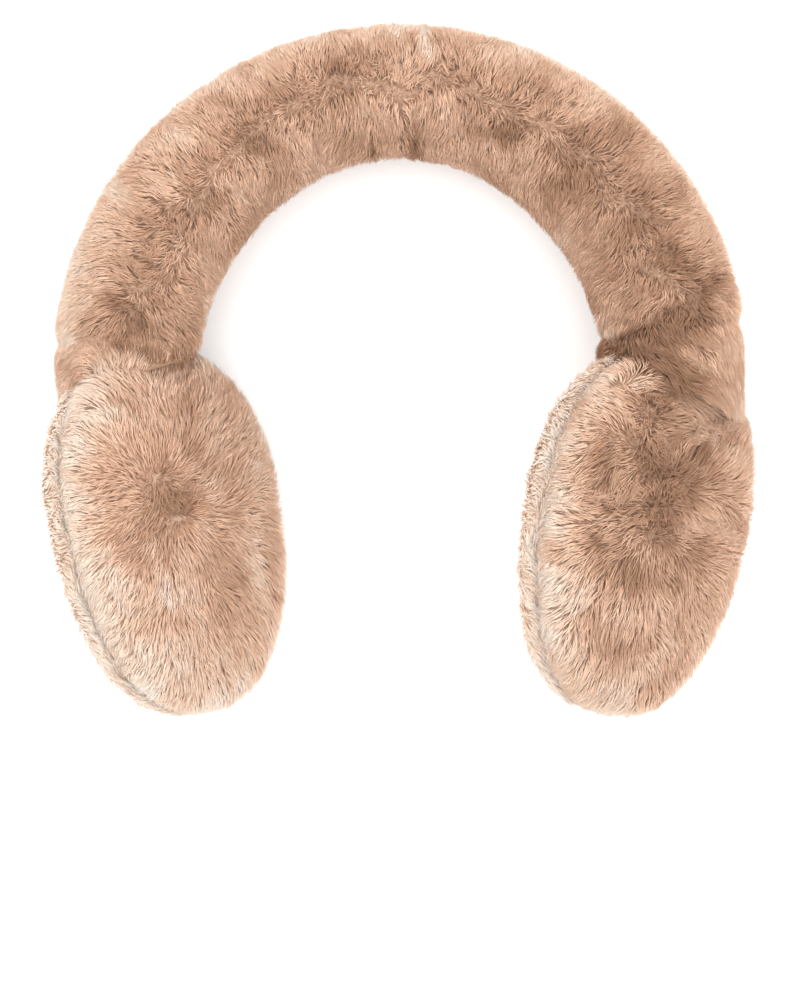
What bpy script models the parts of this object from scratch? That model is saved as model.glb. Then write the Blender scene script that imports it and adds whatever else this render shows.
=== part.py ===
"""Fur earmuffs, laid on their back.

The earmuffs are modelled in the arch's own frame: X to the right, Y from the pads
to the crown, and Z to the front, where the fur parts. The whole is then tipped so
that the crown and both pads rest on the floor, and the fur that rests there is
pressed flat. Each fur piece is a smooth backing with locks of fur fused to it.
"""

import math

import bmesh
import bpy
import numpy as np
from mathutils import Matrix, Vector

# Headband: a fur tube bent round the middle of the arch. Thicknesses are to the fur tips.
ARCH_OUTER_RADIUS = 0.1133
CROWN_THICKNESS = 0.0460
SIDE_THICKNESS = 0.0498
FULL_THICKNESS_ANGLE = 60.0  # degrees from the crown
LEFT_END_ANGLE = 84.0
RIGHT_END_ANGLE = 80.0
END_ROUNDING = 0.006
END_OVERHANG = 0.0002  # how far the fur hangs past the flat of each end
END_SEAT_RADIUS = 0.0205
BAND_SECTIONS = 20

# Collars: the necks of fur that fill the wedges between the band's ends and the pads
LEFT_COLLAR_LENGTH = 0.0115
RIGHT_COLLAR_LENGTH = 0.0176
COLLAR_HALF_WIDTH = 0.0224  # at the pad, across the arch's plane
COLLAR_HALF_DEPTH = 0.0180  # at the pad, from front to back
COLLAR_RINGS = 4
COLLAR_SEGMENTS = 24
COLLAR_LOCKS = 8
COLLAR_LOCK_WIDTH = 0.0130
COLLAR_LOCK_SPAN = (0.22, 0.84)  # shares of the collar's length where its locks start and end

# Pads: oval, each of two domed panels that meet at the rim seam
PAD_WIDTH = 0.0920
PAD_HEIGHT = 0.1208
PAD_THICKNESS = 0.0470
PAD_SQUARENESS = 2.30  # the power of the oval: 2 is an ellipse
PAD_TAPER = 0.08  # how much narrower the pad is at its foot than at its middle
PAD_LEAN = 10.6  # degrees, foot inwards
PAD_TWIST = 46.0  # degrees from facing the front, the same way for both pads
PAD_SEAT_DEPTH = 0.0098  # how far the middle of the collar's seat lies below the pad's top
PAD_SEAT_TILT = 7.0  # degrees that the seat falls outwards, past the pad's own lean
PAD_INSET = 0.0027  # the pad hangs this far inwards of its collar
PAD_FULLNESS = 0.90  # the power of the dome's height: 1 is round, less is fuller
SEAM_POLAR_ANGLE = 104.0  # degrees from the dome's pole: past 90 the rim tucks in
LAST_TIP_POLAR_ANGLE = 98.0  # where the fur at the rim ends
LEFT_WHORL_RISE = 0.0130  # from the pad's middle up to the point the fur radiates from
RIGHT_WHORL_RISE = 0.0040
PANEL_SEGMENTS = 16
PANEL_RINGS = 10

# Locks of fur
LOCK_LENGTH = 0.0240
LOCK_WIDTH = 0.0150
LOCK_RISE = 0.0032
LOCK_PITCH = 0.0190  # between neighbours across the lay
LOCK_ROW_PITCH = 0.0180  # between rows along the lay
LOCK_LEAN = 12.0  # degrees that the band's locks lean towards its ends
LOCK_JITTER = 0.22  # share of a pitch by which a lock strays from its row
LOCK_WIDTH_RANGE = (0.85, 1.10)  # shares of the lock width
LOCK_STAGGERS = (0.25, 0.75)  # shares of a row's pitch at which even and odd columns start
WHORL_OPENING = 0.05  # radians from a whorl to the first ring of locks

CLEARANCE = 0.0003
BAND_PRESSED = 0.0046  # how deep the floor presses the band's fur and padding flat
PAD_PRESSED = 0.0070

# The stations of a lock, as shares of its length, half width and rise above the backing
LOCK_STATIONS = (
    {"along": 0.00, "half_width": 0.00, "foot": -0.45, "ridge": -0.45},
    {"along": 0.30, "half_width": 1.00, "foot": -0.45, "ridge": 0.80},
    {"along": 0.80, "half_width": 0.70, "foot": -0.45, "ridge": 1.00},
    {"along": 1.00, "half_width": 0.00, "foot": -0.35, "ridge": -0.35},
)

FRONT = Vector((0.0, 0.0, 1.0))
END_ANGLES = {"left": -math.radians(LEFT_END_ANGLE), "right": math.radians(RIGHT_END_ANGLE)}
COLLAR_LENGTHS = {"left": LEFT_COLLAR_LENGTH, "right": RIGHT_COLLAR_LENGTH}
WHORL_RISES = {"left": LEFT_WHORL_RISE, "right": RIGHT_WHORL_RISE}
OUTWARDS = {"left": -1.0, "right": 1.0}
# The side of the pad's seam that each panel is on: 1 is the side that faces the front
PANEL_SIDES = {
    "left": {"inner": 1.0, "outer": -1.0},
    "right": {"inner": -1.0, "outer": 1.0},
}


# Shape of the headband

def half_thickness(angle):
    """Half the tube's thickness to the fur tips, at an angle from the crown."""
    share = min(abs(angle) / math.radians(FULL_THICKNESS_ANGLE), 1.0)
    swell = math.sin(share * math.pi / 2) ** 2
    return (CROWN_THICKNESS + (SIDE_THICKNESS - CROWN_THICKNESS) * swell) / 2


def middle_radius(angle):
    return ARCH_OUTER_RADIUS - half_thickness(angle)


def radial(angle):
    return Vector((math.sin(angle), math.cos(angle), 0.0))


def onwards(angle):
    """The direction along the tube from the crown to the nearer end."""
    turned = Vector((math.cos(angle), -math.sin(angle), 0.0))
    return turned if angle > 0 else -turned


def backing_radius(angle):
    """The tube's radius under the fur, which rounds off to a flat seat at each end."""
    full = half_thickness(angle) - LOCK_RISE
    end = END_ANGLES["right"] if angle > 0 else END_ANGLES["left"]
    to_end = abs(end - angle) * middle_radius(angle)
    share = min(to_end / END_ROUNDING, 1.0)
    return END_SEAT_RADIUS + (full - END_SEAT_RADIUS) * math.sqrt(1 - (1 - share) ** 2)


def band_surface(angle, around):
    """The point and normal of the tube's backing, with around counted from the front outwards."""
    normal = FRONT * math.cos(around) + radial(angle) * math.sin(around)
    return radial(angle) * middle_radius(angle) + normal * backing_radius(angle), normal


# Shape of the pads

def pad_axes(side):
    """The pad's axes in the arch's frame: across it, up it, and out of its front face."""
    lean = Matrix.Rotation(-OUTWARDS[side] * math.radians(PAD_LEAN), 3, "Z")
    return lean @ Matrix.Rotation(math.radians(PAD_TWIST), 3, "Y")


def pad_down(side):
    return -(pad_axes(side) @ Vector((0.0, 1.0, 0.0)))


def collar_ends(side):
    """Where the collar leaves the band and where it meets the pad, with its direction at each."""
    angle = END_ANGLES[side]
    start = radial(angle) * middle_radius(angle)
    leaving = onwards(angle)
    tilt = Matrix.Rotation(-OUTWARDS[side] * math.radians(PAD_SEAT_TILT), 3, "Z")
    arriving = tilt @ pad_down(side)
    end = start + (leaving + pad_down(side)).normalized() * COLLAR_LENGTHS[side]
    return start, leaving, end, arriving


def pad_frame(side):
    """The pad's place: its seat lies under the collar's end."""
    _, _, seat, _ = collar_ends(side)
    inwards = Vector((-OUTWARDS[side] * PAD_INSET, 0.0, 0.0))
    middle = seat + inwards + pad_down(side) * (PAD_HEIGHT / 2 - PAD_SEAT_DEPTH)
    return Matrix.Translation(middle) @ pad_axes(side).to_4x4()


def seat_plane(side):
    """The collar's seat in the pad's frame: its middle and the direction out of it."""
    _, _, seat, arriving = collar_ends(side)
    frame = pad_frame(side)
    return frame.inverted() @ seat, -(frame.to_3x3().inverted() @ arriving)


def pad_rim(around, margin=LOCK_RISE):
    """The widest outline of the backing, at an angle round the pad's middle."""
    across, up = math.cos(around), math.sin(around)
    half_width = (PAD_WIDTH / 2 - margin) * (1 + PAD_TAPER * up)
    half_height = PAD_HEIGHT / 2 - margin
    reach = (abs(across) / half_width) ** PAD_SQUARENESS + (abs(up) / half_height) ** PAD_SQUARENESS
    return Vector((across, up)) * reach ** (-1 / PAD_SQUARENESS)


def panel_point(side, face, around, polar):
    """A point of a panel's backing in the pad's frame, polar being 0 at the whorl."""
    spread = math.sin(polar)
    whorl = Vector((0.0, WHORL_RISES[side])) * (1 - spread if polar < math.pi / 2 else 0.0)
    flat = whorl + pad_rim(around) * spread
    seam = math.cos(math.radians(SEAM_POLAR_ANGLE))
    share = max(0.0, (math.cos(polar) - seam) / (1 - seam))
    height = (PAD_THICKNESS / 2 - LOCK_RISE) * share**PAD_FULLNESS
    return Vector((flat.x, flat.y, face * (height + CLEARANCE / 2)))


def panel_surface(side, face):
    """The panel's backing as a function of polar and round angle, like the tube's."""
    step = 1e-3

    def surface(polar, around):
        point = panel_point(side, face, around, polar)
        along = panel_point(side, face, around, polar + step) - point
        across = panel_point(side, face, around + step, polar) - point
        normal = along.cross(across) * face
        return point, normal.normalized()

    return surface


def collar_surface(side):
    """The collar's backing as a function of the share of its length and round angle."""
    start, leaving, end, arriving = collar_ends(side)

    def surface(share, around):
        direction = leaving.lerp(arriving, share).normalized()
        sideways = direction.cross(FRONT).normalized()
        half_width = END_SEAT_RADIUS + (COLLAR_HALF_WIDTH - END_SEAT_RADIUS) * share
        half_depth = END_SEAT_RADIUS + (COLLAR_HALF_DEPTH - END_SEAT_RADIUS) * share
        ahead, beside = math.cos(around), math.sin(around)
        normal = FRONT * ahead / half_depth + sideways * beside / half_width
        reach = FRONT * ahead * half_depth + sideways * beside * half_width
        return start.lerp(end, share) + reach, normal.normalized()

    return surface


# How the whole rests

def fur_points(surface, firsts, seconds):
    """Points of the fur's outer form, on a grid of a surface's two parameters."""
    points = []
    for first in firsts:
        for second in seconds:
            point, normal = surface(first, second)
            points.append(point + normal * LOCK_RISE)
    return points


def resting_matrix():
    """Tips and rolls the arch until the crown and both pads press into the floor."""
    turns = np.linspace(0, 2 * math.pi, 48)
    polars = np.linspace(0.2, math.radians(SEAM_POLAR_ANGLE), 20)
    crown = np.array(fur_points(band_surface, np.linspace(-0.1, 0.1, 5), turns))
    pads = {}
    for side in OUTWARDS:
        frame = pad_frame(side)
        points = []
        for face in PANEL_SIDES[side].values():
            points.extend(frame @ point for point in fur_points(panel_surface(side, face), polars, turns))
        pads[side] = np.array(points)
    depth = middle_radius(0.0) - pad_frame("left").translation.y
    spread = pad_frame("right").translation.x - pad_frame("left").translation.x
    tilt = roll = 0.0
    for _ in range(20):
        turn = Matrix.Rotation(roll, 3, "Y") @ Matrix.Rotation(-tilt, 3, "X")
        upright = np.array(turn)[2]
        crown_low = (crown @ upright).min() + BAND_PRESSED
        left_low = (pads["left"] @ upright).min() + PAD_PRESSED
        right_low = (pads["right"] @ upright).min() + PAD_PRESSED
        tilt += (crown_low - (left_low + right_low) / 2) / depth
        roll += (right_low - left_low) / spread
    return Matrix.Translation((0.0, 0.0, -crown_low)) @ turn.to_4x4()


# Locks of fur

def draw_lock(bm, surface, start, end, width):
    """Draws a ball of three segments and three rings out to a lock that follows the surface."""
    points = [Vector(start).lerp(Vector(end), station["along"]) for station in LOCK_STATIONS]
    feet = [surface(*point) for point in points]
    ball = bmesh.ops.create_uvsphere(bm, u_segments=3, v_segments=3, radius=1.0)
    for vert in ball["verts"]:
        row = int(round((vert.co.z + 1) * 1.5))
        station, (point, normal) = LOCK_STATIONS[row], feet[row]
        before, after = feet[max(row - 1, 0)][0], feet[min(row + 1, 3)][0]
        across = normal.cross(after - before).normalized()
        on_ridge = abs(vert.co.x) < 0.1
        height = station["ridge"] if on_ridge else station["foot"]
        shift = 0.0 if on_ridge else math.copysign(station["half_width"] * width / 2, vert.co.x)
        vert.co = point + across * shift + normal * height * LOCK_RISE


def locks_mesh(name, locks):
    """One mesh of several locks, each a closed body that touches no other."""
    bm = bmesh.new()
    for lock in locks:
        draw_lock(bm, *lock)
    mesh = bpy.data.meshes.new(name)
    bm.to_mesh(mesh)
    bm.free()
    return mesh


def clear_of_floor(rest, frame, surface, start, end):
    """Whether a lock stays above the fur that the floor presses flat."""
    ends = [rest @ frame @ surface(*point)[0] for point in (start, end)]
    return min(point.z for point in ends) > LOCK_RISE


def even_count(length):
    """How many locks stand side by side round a ring, an even number so that two groups alternate."""
    return max(4, 2 * round(length / LOCK_PITCH / 2))


def band_locks(rest):
    """Locks that part along the front and lie round the tube to its back, in groups 0 to 3."""
    rng = np.random.default_rng(7)
    lean = math.tan(math.radians(LOCK_LEAN))
    locks = []
    first, last = END_ANGLES["left"], END_ANGLES["right"]
    margin = (LOCK_WIDTH / 2 + END_ROUNDING / 2) / middle_radius(first)
    columns = round((last - first - 2 * margin) * ARCH_OUTER_RADIUS / LOCK_PITCH)
    for column in range(columns + 1):
        angle = first + margin + (last - first - 2 * margin) * column / columns
        radius = backing_radius(angle)
        spare = math.pi * radius - LOCK_LENGTH
        rows = round(spare / LOCK_ROW_PITCH)
        for way in (-1, 1):
            for row in range(rows):
                stray = rng.uniform(-LOCK_JITTER, LOCK_JITTER, 2)
                stagger = LOCK_STAGGERS[column % 2]
                reach = max(0.05 * LOCK_ROW_PITCH, spare * (row + stagger + stray[0]) / rows)
                tip = min(reach + LOCK_LENGTH, math.pi * radius - LOCK_RISE)
                start = (angle + stray[1] * LOCK_PITCH / ARCH_OUTER_RADIUS, way * reach / radius)
                shift = math.copysign(lean * LOCK_LENGTH / middle_radius(angle), angle)
                share = min(abs(angle) / math.radians(FULL_THICKNESS_ANGLE), 1.0)
                end_angle = min(max(start[0] + shift * share, first + margin), last - margin)
                end = (end_angle, way * tip / radius)
                width = LOCK_WIDTH * rng.uniform(*LOCK_WIDTH_RANGE)
                if clear_of_floor(rest, Matrix(), band_surface, start, end):
                    group = 2 * (row % 2) + column % 2
                    locks.append((group, band_surface, start, end, width))
    return locks


def band_back_locks(rest):
    """A row of locks along the middle of the band's back, lying towards each end, in groups 6 and 7."""
    locks = []
    for end in END_ANGLES.values():
        length = LOCK_LENGTH / middle_radius(end)
        count = int((abs(end) - 1.5 * length) / length)
        for index in range(count):
            start = (math.copysign(0.2 * length + index * length, end), math.pi)
            tip = (start[0] + math.copysign(length, end), math.pi)
            if clear_of_floor(rest, Matrix(), band_surface, start, tip):
                locks.append((6 + index % 2, band_surface, start, tip, LOCK_WIDTH))
    return locks


def band_end_locks(rest):
    """A ring of locks at each end that hangs over the seat's edge, in groups 4 and 5."""
    locks = []
    count = even_count(2 * math.pi * half_thickness(END_ANGLES["left"]))
    for end in END_ANGLES.values():
        reach = LOCK_LENGTH / middle_radius(end)
        for index in range(count):
            around = 2 * math.pi * (index + 0.5) / count
            start = (end - math.copysign(reach, end), around)
            tip = (end + math.copysign(END_OVERHANG / middle_radius(end), end), around)
            if clear_of_floor(rest, Matrix(), band_surface, start, tip):
                locks.append((4 + index % 2, band_surface, start, tip, LOCK_WIDTH))
    return locks


def panel_locks(side, face, rest):
    """Locks that radiate from the whorl and lie over the dome towards the rim."""
    rng = np.random.default_rng(11)
    surface = panel_surface(side, face)
    frame = pad_frame(side)
    seat, seat_normal = seat_plane(side)
    meridian = (PAD_WIDTH + PAD_HEIGHT) / 4 - LOCK_RISE
    last_tip = math.radians(LAST_TIP_POLAR_ANGLE)
    row_step = LOCK_ROW_PITCH / meridian
    length = LOCK_LENGTH / meridian
    rows = int((last_tip - length) / row_step) + 1
    locks = []
    for row in range(rows):
        polar = WHORL_OPENING + row * (last_tip - length - WHORL_OPENING) / (rows - 1)
        ring = 2 * math.pi * meridian * math.sin(polar + length / 2)
        count = even_count(ring)
        for index in range(count):
            stray = rng.uniform(-LOCK_JITTER, LOCK_JITTER, 2)
            around = 2 * math.pi * (index + 0.5 * (row % 2) + stray[0]) / count
            start_polar = max(WHORL_OPENING, polar + stray[1] * row_step)
            start = (start_polar, around)
            end = (min(start_polar + length, last_tip), around)
            above_seat = (surface(*end)[0] - seat).dot(seat_normal)
            width = LOCK_WIDTH * rng.uniform(*LOCK_WIDTH_RANGE)
            if above_seat < -LOCK_RISE / 2 and clear_of_floor(rest, frame, surface, start, end):
                locks.append((2 * (row % 2) + index % 2, surface, start, end, width))
    return locks


def collar_locks(side):
    """Short locks that lie down the collar from the band to the pad."""
    surface = collar_surface(side)
    locks = []
    for index in range(COLLAR_LOCKS):
        around = 2 * math.pi * index / COLLAR_LOCKS
        span = (surface(1.0, around)[0] - surface(0.0, around)[0]).length
        if span > 2 * LOCK_RISE:
            start, end = ((share, around) for share in COLLAR_LOCK_SPAN)
            locks.append((index % 2, surface, start, end, COLLAR_LOCK_WIDTH))
    return locks


# Building the nodes

def fur_material(name, colour):
    material = bpy.data.materials.new(name)
    material.use_nodes = True
    shader = material.node_tree.nodes["Principled BSDF"]
    shader.inputs["Base Color"].default_value = (*colour, 1.0)
    shader.inputs["Roughness"].default_value = 0.9
    shader.inputs["Metallic"].default_value = 0.0
    return material


def add_object(name, mesh, collection, parent=None, matrix=None):
    obj = bpy.data.objects.new(name, mesh)
    collection.objects.link(obj)
    obj.parent = parent
    if matrix is not None:
        obj.matrix_local = matrix
    return obj


def hide_helper(obj):
    obj.hide_render = True
    obj.display_type = "WIRE"


def add_boolean(obj, name, operation, other):
    boolean = obj.modifiers.new(name, "BOOLEAN")
    boolean.operation = operation
    boolean.object = other
    boolean.solver = "MANIFOLD"


def fur_piece(name, backing, locks, parent, matrix, material, parts, helpers, cutters):
    """A backing with its locks fused to it, cut by the planes it rests or seats on."""
    piece = add_object(name, backing, parts, parent, matrix)
    backing.materials.append(material)
    for group in sorted({lock[0] for lock in locks}):
        tuft_name = f"{name}_locks_{group}"
        mesh = locks_mesh(tuft_name, [lock[1:] for lock in locks if lock[0] == group])
        tufts = add_object(tuft_name, mesh, helpers, parent, matrix)
        hide_helper(tufts)
        add_boolean(piece, tuft_name, "UNION", tufts)
    for cutter in cutters:
        add_boolean(piece, cutter.name, "DIFFERENCE", cutter)
    return piece


def tube_mesh(name, stations, collection):
    """A closed round tube through (point, radius) stations, from a bevelled curve."""
    curve = bpy.data.curves.new(name, "CURVE")
    curve.dimensions = "3D"
    curve.bevel_depth = max(radius for _, radius in stations)
    curve.bevel_resolution = 4
    curve.use_fill_caps = True
    spline = curve.splines.new("POLY")
    spline.points.add(len(stations) - 1)
    for point, (place, radius) in zip(spline.points, stations):
        point.co = (*place, 1.0)
        point.radius = radius / curve.bevel_depth
    guide = add_object(name, curve, collection)
    bpy.context.view_layer.update()
    graph = bpy.context.evaluated_depsgraph_get()
    mesh = bpy.data.meshes.new_from_object(guide.evaluated_get(graph))
    bm = bmesh.new()
    bm.from_mesh(mesh)
    bmesh.ops.remove_doubles(bm, verts=bm.verts, dist=1e-6)
    bmesh.ops.recalc_face_normals(bm, faces=bm.faces)
    bm.to_mesh(mesh)
    bm.free()
    bpy.data.objects.remove(guide)
    return mesh


def band_mesh(collection):
    """The headband's backing: even sections, and closer ones where the ends round off."""
    rounding = [END_ROUNDING * (1 - math.cos(math.radians(step))) for step in (0, 25, 45, 65)]
    angles = []
    for side, end in END_ANGLES.items():
        near = [end - math.copysign(reach / middle_radius(end), end) for reach in rounding]
        angles.extend(near)
    inner = END_ROUNDING / middle_radius(0.0)
    angles.extend(np.linspace(END_ANGLES["left"] + inner, END_ANGLES["right"] - inner, BAND_SECTIONS))
    stations = [(radial(a) * middle_radius(a), backing_radius(a)) for a in sorted(angles)]
    return tube_mesh("headband", stations, collection)


def panel_mesh(name, side, face):
    """A panel's backing: a ball cut below its middle, drawn out to the domed oval."""
    seam = math.cos(math.radians(SEAM_POLAR_ANGLE))
    bm = bmesh.new()
    bmesh.ops.create_uvsphere(bm, u_segments=PANEL_SEGMENTS, v_segments=PANEL_RINGS, radius=1.0)
    everything = bm.verts[:] + bm.edges[:] + bm.faces[:]
    cut = bmesh.ops.bisect_plane(
        bm, geom=everything, plane_co=(0, 0, seam), plane_no=(0, 0, -1), clear_outer=True
    )
    rim = [edge for edge in cut["geom_cut"] if isinstance(edge, bmesh.types.BMEdge)]
    bmesh.ops.contextual_create(bm, geom=rim)
    bmesh.ops.recalc_face_normals(bm, faces=bm.faces)
    for vert in bm.verts:
        polar = math.acos(max(-1.0, min(1.0, vert.co.z / vert.co.length)))
        if vert.co.z < seam + 1e-4:
            polar = math.radians(SEAM_POLAR_ANGLE)
        vert.co = panel_point(side, face, math.atan2(vert.co.y, vert.co.x), polar)
    if face < 0:
        bmesh.ops.reverse_faces(bm, faces=bm.faces)
    mesh = bpy.data.meshes.new(name)
    bm.to_mesh(mesh)
    bm.free()
    return mesh


def collar_mesh(name, side):
    """The collar's backing: rings joined by faces, with its flat ends held clear of the band and the pad."""
    _, leaving, _, arriving = collar_ends(side)
    surface = collar_surface(side)
    bm = bmesh.new()
    rings = []
    for share in np.linspace(0.0, 1.0, COLLAR_RINGS):
        shift = (leaving * (1 - share) - arriving * share) * CLEARANCE
        turns = np.linspace(0.0, 2 * math.pi, COLLAR_SEGMENTS, endpoint=False)
        rings.append([bm.verts.new(surface(share, around)[0] + shift) for around in turns])
    for ring, following in zip(rings, rings[1:]):
        for index in range(COLLAR_SEGMENTS):
            beside = (index + 1) % COLLAR_SEGMENTS
            bm.faces.new((ring[index], ring[beside], following[beside], following[index]))
    for ring in (rings[0], rings[-1]):
        bm.faces.new(ring)
    bmesh.ops.recalc_face_normals(bm, faces=bm.faces)
    mesh = bpy.data.meshes.new(name)
    bm.to_mesh(mesh)
    bm.free()
    return mesh


def box_cutter(name, collection, size, parent=None, matrix=None):
    bm = bmesh.new()
    bmesh.ops.create_cube(bm, size=size)
    mesh = bpy.data.meshes.new(name)
    bm.to_mesh(mesh)
    bm.free()
    cutter = add_object(name, mesh, collection, parent, matrix)
    hide_helper(cutter)
    return cutter


def centre_over_origin(root, nodes):
    """Moves the whole so that the middle of its box stands over the origin."""
    bpy.context.view_layer.update()
    graph = bpy.context.evaluated_depsgraph_get()
    points = []
    for node in nodes:
        placed = node.evaluated_get(graph)
        points.extend(placed.matrix_world @ vert.co for vert in placed.data.vertices)
    points = np.array(points)
    middle = (points.min(axis=0) + points.max(axis=0)) / 2
    root.location.x -= middle[0]
    root.location.y -= middle[1]


def main():
    for obj in list(bpy.data.objects):
        bpy.data.objects.remove(obj)
    parts = bpy.data.collections.new("fur_earmuffs")
    helpers = bpy.data.collections.new("cutters")
    for collection in (parts, helpers):
        bpy.context.scene.collection.children.link(collection)

    band_fur = fur_material("band_fur", (0.60, 0.40, 0.28))
    pad_fur = fur_material("pad_fur", (0.66, 0.45, 0.33))
    collar_fur = fur_material("collar_fur", (0.48, 0.31, 0.22))

    rest = resting_matrix()
    root = add_object("earmuffs_frame", None, parts, matrix=rest)
    size = 4 * ARCH_OUTER_RADIUS
    floor = box_cutter("floor_cutter", helpers, size, matrix=Matrix.Translation((0, 0, -size / 2)))

    locks = band_locks(rest) + band_back_locks(rest) + band_end_locks(rest)
    band = band_mesh(parts)
    nodes = [
        fur_piece("headband", band, locks, root, Matrix(), band_fur, parts, helpers, [floor])
    ]
    for side in OUTWARDS:
        collar = collar_mesh(f"{side}_collar", side)
        nodes.append(
            fur_piece(
                f"{side}_collar", collar, collar_locks(side), root, Matrix(), collar_fur,
                parts, helpers, [],
            )
        )
        frame = add_object(f"{side}_pad_frame", None, parts, root, pad_frame(side))
        seat, seat_normal = seat_plane(side)
        turn = seat_normal.to_track_quat("Y", "Z").to_matrix().to_4x4()
        above = Matrix.Translation(seat + seat_normal * PAD_WIDTH) @ turn
        seat_cutter = box_cutter(f"{side}_seat_cutter", helpers, 2 * PAD_WIDTH, frame, above)
        for panel, face in PANEL_SIDES[side].items():
            name = f"{side}_pad_{panel}"
            nodes.append(
                fur_piece(
                    name, panel_mesh(name, side, face), panel_locks(side, face, rest), frame,
                    Matrix(), pad_fur, parts, helpers, [seat_cutter, floor],
                )
            )
    centre_over_origin(root, nodes)


main()
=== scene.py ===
import bpy
import numpy as np
from mathutils import Euler, Matrix, Vector


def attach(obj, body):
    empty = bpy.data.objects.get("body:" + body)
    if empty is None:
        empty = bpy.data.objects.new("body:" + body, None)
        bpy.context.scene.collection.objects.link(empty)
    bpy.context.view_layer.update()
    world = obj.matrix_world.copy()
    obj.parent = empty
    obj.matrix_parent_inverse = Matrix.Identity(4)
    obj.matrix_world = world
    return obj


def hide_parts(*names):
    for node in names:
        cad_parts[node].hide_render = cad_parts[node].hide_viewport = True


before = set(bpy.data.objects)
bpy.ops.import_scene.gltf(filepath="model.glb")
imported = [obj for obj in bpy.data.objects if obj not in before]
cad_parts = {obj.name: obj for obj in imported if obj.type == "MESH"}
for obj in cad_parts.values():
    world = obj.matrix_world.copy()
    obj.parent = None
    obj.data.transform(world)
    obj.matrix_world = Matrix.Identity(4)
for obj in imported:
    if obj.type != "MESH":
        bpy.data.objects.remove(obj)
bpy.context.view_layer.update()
print("frame loaded:", ", ".join(sorted(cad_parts)))


# Where the arch lies: X to the right, Y to the crown, Z to the front, where the fur parts
arch = {
    "place": (0.000300, 0.000096, 0.028394),
    "turn": (-0.1107, 0.0056, 0.0),
    "outerRadius": 0.1133,  # to the fur tips
    "crownThickness": 0.0460,
    "sideThickness": 0.0498,
    "fullThicknessAngle": 60.0,  # degrees from the crown
    "ends": {"left": -84.0, "right": 80.0},
    "endRounding": 0.0060,
    "endSeatRadius": 0.0237,  # to the fur tips
}
archFrame = Matrix.LocRotScale(Vector(arch["place"]), Euler(arch["turn"]), None)
archTurn = np.array(archFrame)[:3, :3]
archRight, archUp, archFront = archTurn.T
outwards = {"left": -1.0, "right": 1.0}  # which way along the arch's X

# The picture's scale, and the pixel that the arch's centre falls on
picture = {"metresPerPixel": 0.000323, "archPixel": (400.5, 372.0), "size": (800, 1000)}

pads = {
    "width": 0.0920,
    "height": 0.1208,
    "thickness": 0.0470,
    "squareness": 2.30,
    "taper": 0.08,
    "fullness": 0.90,
    "seam": 104.0,  # degrees from the dome's pole
    "clearance": 0.0003,
    "left": {
        "place": (-0.075112, -0.051573, 0.034564),
        "turn": (-0.1588, 0.8226, 0.0699),
        "whorlRise": 0.0130,
    },
    "right": {
        "place": (0.075288, -0.051572, 0.033715),
        "turn": (-0.1552, 0.7819, -0.2953),
        "whorlRise": 0.0040,
    },
}

collar = {
    "lengths": {"left": 0.0115, "right": 0.0176},
    "startRadius": 0.0237,  # to the fur tips, at the band
    "halfWidth": 0.0256,  # at the pad
    "halfDepth": 0.0212,
    "seatTilt": 7.0,  # degrees that the pad's seat falls outwards
}

# The sines that each wave is made of: how many, how differently fast, and what their sum is divided by
ripple = {"count": 7, "rates": (0.7, 1.5), "divisor": 3.2}


# Plain array helpers

def unit(vectors):
    # each row divided by its length
    return vectors / np.maximum(np.linalg.norm(vectors, axis=-1, keepdims=True), 1e-12)


def placed(matrix, points):
    # rotation times each point, plus the place
    turn = np.array(matrix)
    return points @ turn[:3, :3].T + turn[:3, 3]


def smooth(low, high, values):
    # 0 below low, 1 above high, and 3t^2 - 2t^3 in between
    share = np.clip((values - low) / (high - low), 0.0, 1.0)
    return share * share * (3 - 2 * share)


def smoothDegrees(low, high, radians):
    return smooth(np.radians(low), np.radians(high), radians)


def wrapped(angle):
    # the same angle from -pi to pi
    return (angle + np.pi) % (2 * np.pi) - np.pi


def waves(points, length, seed):
    # several sines of the points along random directions, slow over the given length, added up and divided
    # so that they run from about -1 to 1
    rng = np.random.default_rng(seed)
    count = ripple["count"]
    directions = unit(rng.normal(size=(count, 3))) * rng.uniform(*ripple["rates"], (count, 1))
    phases = rng.uniform(0, 2 * np.pi, count)
    return np.sin(points @ directions.T * (2 * np.pi / length) + phases).sum(axis=1) / ripple["divisor"]


def wander(points, parts):
    # the sum of several waves, each given as (strength, length, seed)
    return sum(strength * waves(points, length, seed) for strength, length, seed in parts)


def seenAt(x, y):
    # the point of the arch's plane, in metres, that a pixel of the picture falls on
    centre = picture["archPixel"]
    return np.array([(x - centre[0]), (centre[1] - y)]) * picture["metresPerPixel"]


def awayFromLine(points, pixels):
    # from the nearest place on a line through several pixels to the point, in the arch's plane
    flat = placed(archFrame.inverted(), points)[:, :2]
    found, best = np.zeros_like(flat), np.full(len(flat), np.inf)
    for first, second in zip(pixels[:-1], pixels[1:]):
        start, along = seenAt(*first), seenAt(*second) - seenAt(*first)
        share = np.clip(((flat - start) @ along) / max(along @ along, 1e-12), 0, 1)
        offset = flat - (start + share[:, None] * along)
        square = (offset**2).sum(axis=1)
        closer = square < best
        best = np.where(closer, square, best)
        found[closer] = offset[closer]
    return found


def inWorld(flat):
    # directions in the arch's plane, turned to the world's axes
    return flat @ archTurn[:, :2].T


# Shapes: each gives world points from two parameters, at a depth below the fur tips

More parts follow.
